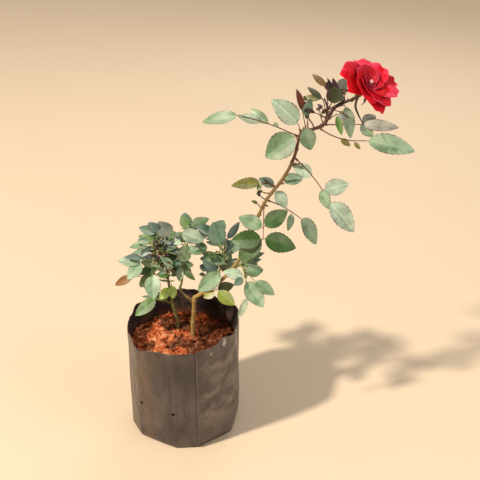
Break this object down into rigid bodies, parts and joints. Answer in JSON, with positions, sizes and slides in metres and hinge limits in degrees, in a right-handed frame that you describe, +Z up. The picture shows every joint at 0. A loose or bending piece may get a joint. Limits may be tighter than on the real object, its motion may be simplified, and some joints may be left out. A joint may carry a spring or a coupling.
{
  "type": "potted rose bush",
  "caption": "Young rose bush in a soft plastic grow bag: a low leafy crown and a long arching cane that ends in an open red bloom. Stands on the bag's flat underside.",
  "frame": {"origin": "centre of the bag's flat underside, on the ground", "axes": "+Z up; the bag's sharp fold looks along -Y; the arching cane and its bloom lean along +X"},
  "size_m": [0.3732, 0.1796, 0.5182],
  "materials": {
    "bag": "dusty satin sheet",
    "soil": "crumbly",
    "tan_bark": "dull",
    "olive_bark": "dull",
    "lime_bark": "satin",
    "russet_bark": "satin",
    "leaf": "satin",
    "young_leaf": "satin",
    "petal": "velvety"
  },
  "bodies": {
    "root": {"grow_bag": "bag", "soil": "soil", "main_cane": "tan_bark", "second_cane": "olive_bark", "left_bough": "olive_bark", "back_bough": "olive_bark", "right_bough": "olive_bark", "arching_cane_low": "tan_bark", "arching_cane_middle": "lime_bark", "arching_cane_high": "russet_bark", "flower_stalk": "russet_bark", "rose_bloom": "petal", "hanging_leaf": "leaf", "swinging_leaf": "leaf", "shining_leaf": "leaf", "side_left_leaf": "leaf", "side_right_leaf": "leaf", "drooping_leaf": "leaf", "lower_left_leaf": "leaf", "top_left_leaf": "leaf", "pale_top_leaf": "leaf", "green_front_leaf": "leaf", "folded_light_leaf": "leaf", "narrow_dark_leaf": "leaf", "top_right_leaf": "leaf", "far_right_leaf": "leaf", "low_left_mass": "leaf", "low_front_mass": "leaf", "low_top_mass": "leaf", "low_back_mass": "leaf", "middle_mass": "leaf", "right_mass": "leaf", "right_back_mass": "leaf", "brown_top_leaf": "young_leaf", "young_shoot": "young_leaf"}
  },
  "joints": []
}
